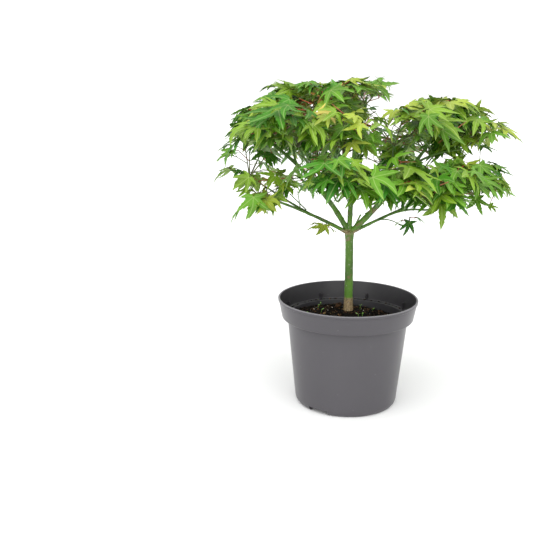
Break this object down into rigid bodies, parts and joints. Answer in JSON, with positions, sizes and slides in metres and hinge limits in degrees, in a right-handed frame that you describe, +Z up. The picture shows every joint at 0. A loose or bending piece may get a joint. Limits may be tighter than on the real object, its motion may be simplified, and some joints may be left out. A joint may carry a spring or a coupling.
{
  "type": "potted japanese maple",
  "caption": "Young maple with a slim upright trunk and a wide, low crown of lobed leaves, growing in a round plastic nursery pot with a deep rim collar.",
  "frame": {"origin": "middle of the pot's flat underside", "axes": "+Z up along the trunk, -Y towards the viewer of the picture, +X to the viewer's right"},
  "size_m": [0.3887, 0.3994, 0.4352],
  "materials": {
    "pot": "warm grey moulded plastic, semi-gloss outside",
    "soil": "dark moist potting mix with bark bits",
    "bark": "smooth green young bark with small pale pores",
    "leaf": "soft green leaves, some yellow and orange"
  },
  "bodies": {
    "root": {"pot": "pot", "soil": "soil", "trunk": "bark", "bough_back": "bark", "bough_centre": "bark", "bough_left_high": "bark", "bough_left_low": "bark", "bough_right_high": "bark", "bough_right_low": "bark", "limb_back_left": "bark", "limb_back_right": "bark", "limb_crest": "bark", "limb_front_low": "bark", "limb_left_back": "bark", "limb_left_crown": "bark", "limb_left_front": "bark", "limb_left_tip": "bark", "limb_mid_front": "bark", "limb_right_back": "bark", "limb_right_front": "bark", "limb_right_low": "bark", "limb_right_mid": "bark", "limb_right_tip": "bark", "limb_sprout_left": "bark", "limb_sprout_right": "bark", "leaves_back_crown": "leaf", "leaves_back_left": "leaf", "leaves_back_right": "leaf", "leaves_crest": "leaf", "leaves_front_low": "leaf", "leaves_left_back": "leaf", "leaves_left_crown": "leaf", "leaves_left_front": "leaf", "leaves_left_high": "leaf", "leaves_left_low": "leaf", "leaves_left_tip": "leaf", "leaves_mid_crown": "leaf", "leaves_mid_front": "leaf", "leaves_right_back": "leaf", "leaves_right_crown": "leaf", "leaves_right_front": "leaf", "leaves_right_low": "leaf", "leaves_right_mid": "leaf", "leaves_right_side": "leaf", "leaves_right_tip": "leaf", "leaves_sprout_left": "leaf", "leaves_sprout_right": "leaf"}
  },
  "joints": []
}
